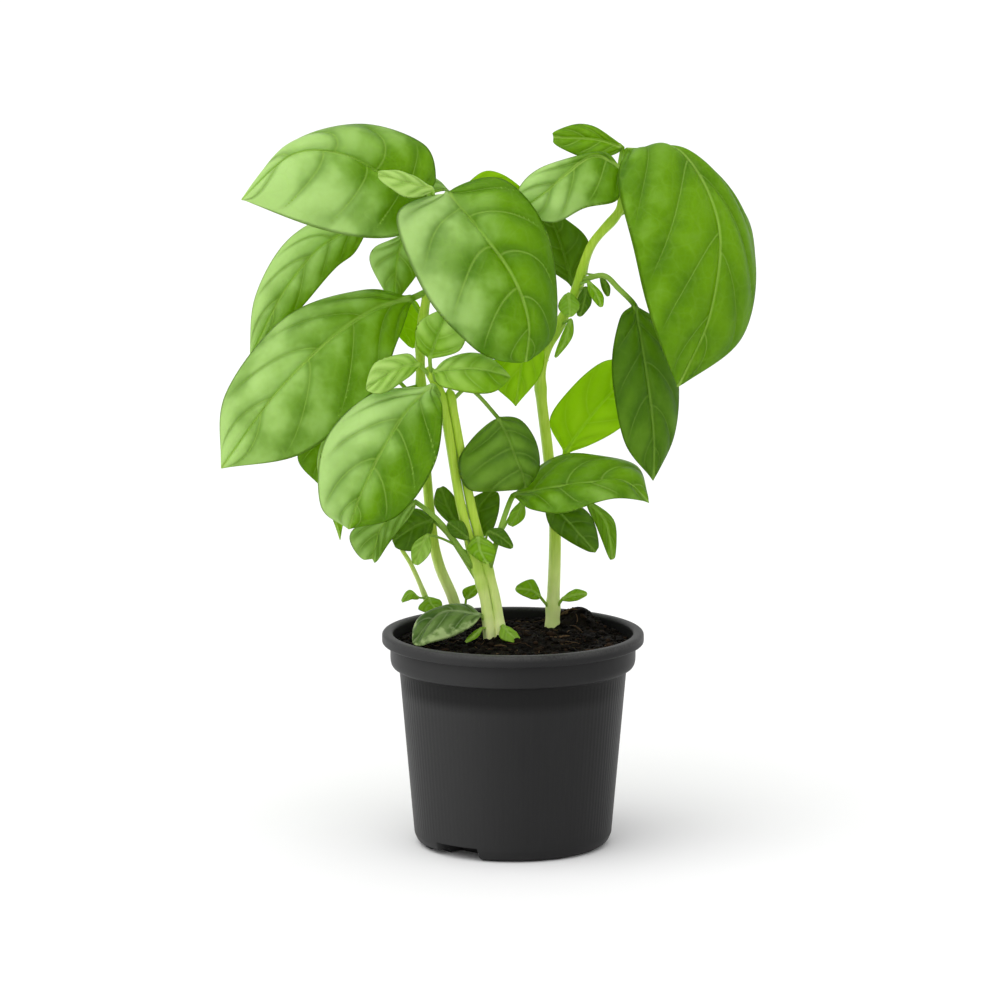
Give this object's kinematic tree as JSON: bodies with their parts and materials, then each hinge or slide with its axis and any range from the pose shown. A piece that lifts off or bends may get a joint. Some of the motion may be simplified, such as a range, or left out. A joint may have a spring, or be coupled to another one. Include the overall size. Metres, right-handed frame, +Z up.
{
  "type": "potted basil plant",
  "caption": "Potted basil: a tapered charcoal nursery pot with rolled lip and drain notches, dark soil, pale stems and broad glossy green leaves.",
  "frame": {"origin": "on the ground under the centre of the pot", "axes": "+Z up; the plant's front faces -Y and its right is +X"},
  "size_m": [0.2127, 0.1121, 0.2892],
  "materials": {
    "pot": "satin",
    "soil": "matte",
    "stem": "satin",
    "leaf": "satin",
    "leaf_young": "satin",
    "leaf_dark": "satin"
  },
  "bodies": {
    "root": {"pot": "pot", "soil": "soil", "left_stem": "stem", "front_stem_left": "stem", "front_stem_right": "stem", "right_stem": "stem", "seedling_stem": "stem", "leaf_top_left": "leaf", "leaf_top_small": "leaf_young", "leaf_front_centre": "leaf", "leaf_back_left": "leaf", "leaf_big_left": "leaf", "leaf_centre_left": "leaf", "young_leaf_upper": "leaf_young", "young_leaf_right": "leaf_young", "young_leaf_left": "leaf_young", "leaf_centre_bright": "leaf_young", "leaf_hanging_left": "leaf", "leaf_left_inner": "leaf", "leaf_right_behind": "leaf", "leaf_right_hanging": "leaf_dark", "leaf_big_right": "leaf", "leaf_top_centre": "leaf", "leaf_top_wavy": "leaf", "leaf_behind_front": "leaf", "leaf_behind_right": "leaf_dark", "young_leaf_point": "leaf_young", "young_leaf_dark": "leaf_dark", "young_leaf_pale": "leaf_young", "young_leaf_tiny": "leaf_dark", "young_leaf_narrow": "leaf_young", "leaf_centre_dark": "leaf_dark", "leaf_right_low": "leaf", "leaf_right_under": "leaf_dark", "leaf_right_narrow": "leaf", "leaf_low_tip": "leaf_young", "leaf_behind_stems": "leaf_dark", "leaf_beside_stems": "leaf_dark", "young_leaf_stem_left": "leaf_dark", "young_leaf_stem_front": "leaf_young", "young_leaf_stem_right": "leaf_dark", "leaf_low_left": "leaf", "leaf_low_left_dark": "leaf_dark", "leaf_low_left_pale": "leaf_young", "leaf_left_edge": "leaf_young", "leaf_left_lower": "leaf", "seed_leaf_right_a": "leaf_young", "seed_leaf_right_b": "leaf_young", "seedling_behind": "leaf_young", "seed_leaf_left_pale": "leaf_young", "seed_leaf_left_round": "leaf_young", "leaf_on_soil": "leaf_young", "base_leaf_left": "leaf_young", "base_leaf_right": "leaf_young", "back_leaf_centre": "leaf", "back_leaf_right": "leaf", "back_leaf_left": "leaf", "back_leaf_top": "leaf", "back_leaf_middle": "leaf"}
  },
  "joints": []
}
